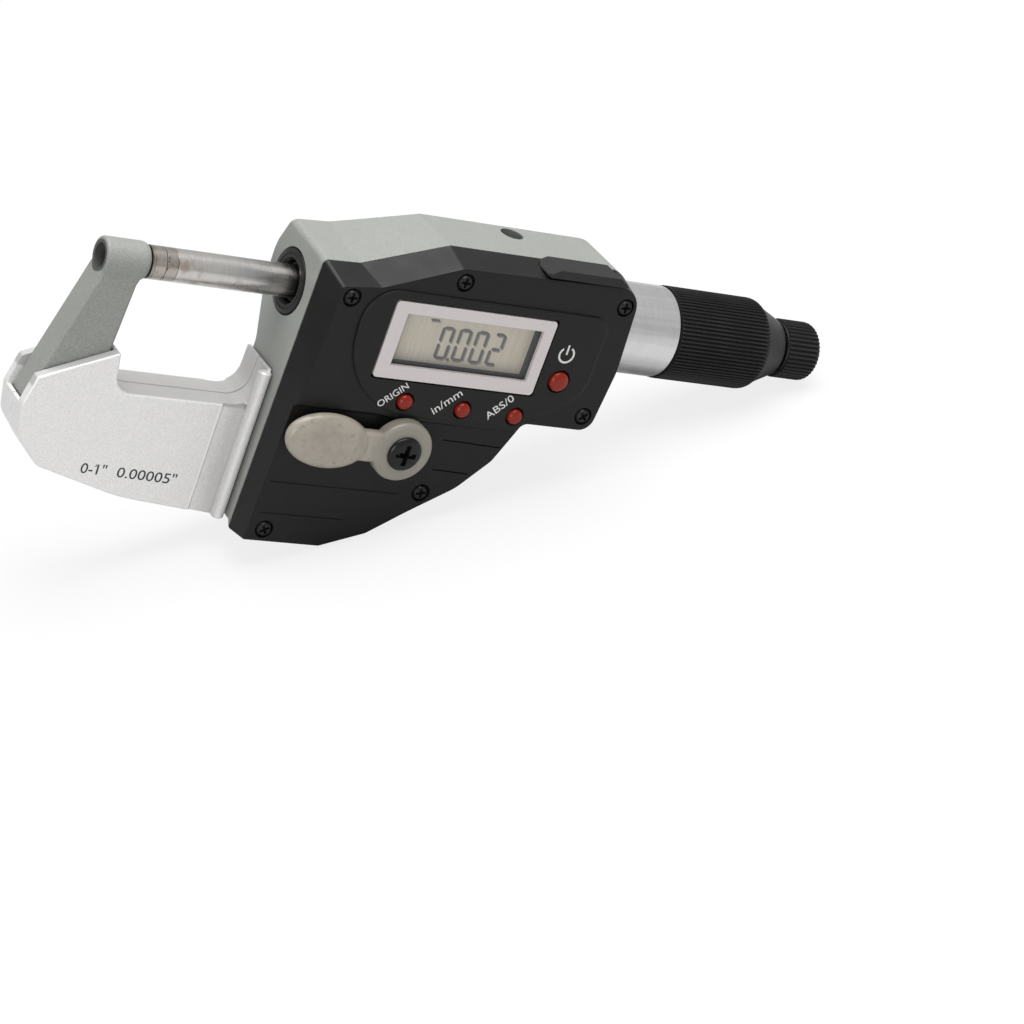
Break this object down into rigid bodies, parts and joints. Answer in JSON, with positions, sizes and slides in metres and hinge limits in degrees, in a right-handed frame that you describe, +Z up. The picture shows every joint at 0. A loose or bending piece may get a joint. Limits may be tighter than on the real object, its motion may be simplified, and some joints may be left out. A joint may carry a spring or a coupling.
{
  "type": "digital outside micrometer",
  "caption": "Digital outside micrometer: U-shaped frame, anvil and sliding spindle, display housing with buttons and clamp lever, knurled thimble and ratchet knob.",
  "frame": {"origin": "centre of the bounding box's base, on the surface that the tool stands on, resting on its lower edge and its ratchet knob", "axes": "+Z up, +X along the tool from the anvil to the ratchet knob, -Y towards the side with the display; the spindle's axis runs down to the right at 21.63 degrees"},
  "size_m": [0.1766, 0.0312, 0.0699],
  "materials": {
    "cast_grey": "textured grey enamel",
    "steel": "ground",
    "carbide": "lapped",
    "satin_chrome": "satin",
    "brass": "machined",
    "silver_shell": "satin silver",
    "black_plastic": "fine grained",
    "black_metal": "black oxide",
    "rubber": "matt",
    "red_button": "glossy red",
    "milk_plastic": "milky grey",
    "bezel_silver": "silver printed",
    "window": "clear",
    "lcd": "grey liquid crystal",
    "board": "green board"
  },
  "bodies": {
    "body": {"adjusting_nut": "steel", "anvil": "steel", "anvil_tip": "carbide", "battery": "steel", "battery_contacts": "steel", "circuit_board": "board", "cover_gasket": "rubber", "cover_screw_1": "black_metal", "cover_screw_2": "black_metal", "cover_screw_3": "black_metal", "cover_screw_4": "black_metal", "cover_screw_5": "black_metal", "cover_screw_6": "black_metal", "display_bezel": "bezel_silver", "display_window": "window", "encoder_reader": "board", "frame": "cast_grey", "front_cover": "black_plastic", "front_shell": "silver_shell", "key_pin": "steel", "lcd_module": "lcd", "lead_nut": "brass", "origin_switch": "steel", "port_connector": "black_plastic", "port_cover": "rubber", "power_switch": "steel", "rear_shell": "silver_shell", "shell_screw_1": "black_metal", "shell_screw_2": "black_metal", "shell_screw_3": "black_metal", "sleeve": "satin_chrome", "spindle_bush": "black_plastic", "top_plug": "rubber", "unit_switch": "steel", "wiper_seal": "rubber", "zero_switch": "steel"},
    "spindle": {"spindle": "steel", "spindle_tip": "carbide", "scale_carrier": "silver_shell", "encoder_scale": "board"},
    "thimble": {"thimble": "black_metal", "lead_screw": "steel", "thimble_seal": "rubber", "ratchet_spring": "steel", "ratchet_screw": "steel"},
    "ratchet_knob": {"ratchet_knob": "black_metal"},
    "lock_lever": {"lock_lever": "milk_plastic", "lever_screw": "black_metal", "lock_cam": "steel"},
    "lock_rod": {"lock_rod": "brass"},
    "origin_button": {"origin_button": "red_button"},
    "unit_button": {"unit_button": "red_button"},
    "zero_button": {"zero_button": "red_button"},
    "power_button": {"power_button": "red_button"},
    "battery_cap": {"battery_cap": "black_plastic", "battery_cap_seal": "rubber"}
  },
  "joints": [
    {"name": "thimble_turn", "type": "hinge", "parent": "spindle", "child": "thimble", "pos_m": [0.04992, 0.00596, 0.01984], "axis": [0.9296, 0, -0.3686], "range_deg": [0, 14400]},
    {"name": "spindle_slide", "type": "slide", "parent": "body", "child": "spindle", "axis": [0.9296, 0, -0.3686], "range_m": [0, 0.0254]},
    {"name": "knob_turn", "type": "hinge", "parent": "thimble", "child": "ratchet_knob", "pos_m": [0.07804, 0.00596, 0.00869], "axis": [0.9296, 0, -0.3686], "continuous": true},
    {"name": "lever_turn", "type": "hinge", "parent": "body", "child": "lock_lever", "pos_m": [-0.01636, -0.01473, 0.0202], "axis": [0, -1, 0], "range_deg": [0, 45]},
    {"name": "rod_lift", "type": "slide", "parent": "body", "child": "lock_rod", "axis": [0.3686, 0, 0.9296], "range_m": [0, 0.00025]},
    {"name": "origin_button_press", "type": "slide", "parent": "body", "child": "origin_button", "axis": [0, 1, 0], "range_m": [0, 0.0004], "stiffness_N_per_m": 600},
    {"name": "unit_button_press", "type": "slide", "parent": "body", "child": "unit_button", "axis": [0, 1, 0], "range_m": [0, 0.0004], "stiffness_N_per_m": 600},
    {"name": "zero_button_press", "type": "slide", "parent": "body", "child": "zero_button", "axis": [0, 1, 0], "range_m": [0, 0.0004], "stiffness_N_per_m": 600},
    {"name": "power_button_press", "type": "slide", "parent": "body", "child": "power_button", "axis": [0, 1, 0], "range_m": [0, 0.0004], "stiffness_N_per_m": 600},
    {"name": "battery_cap_turn", "type": "hinge", "parent": "body", "child": "battery_cap", "pos_m": [-0.03167, 0.00996, 0.01497], "axis": [0, 1, 0], "range_deg": [0, 45]}
  ],
  "couplings": [
    {"joint": "thimble_turn", "follows": "spindle_slide", "rad_per_m": 9894.8},
    {"joint": "lever_turn", "follows": "rod_lift", "rad_per_m": 3141.6}
  ]
}
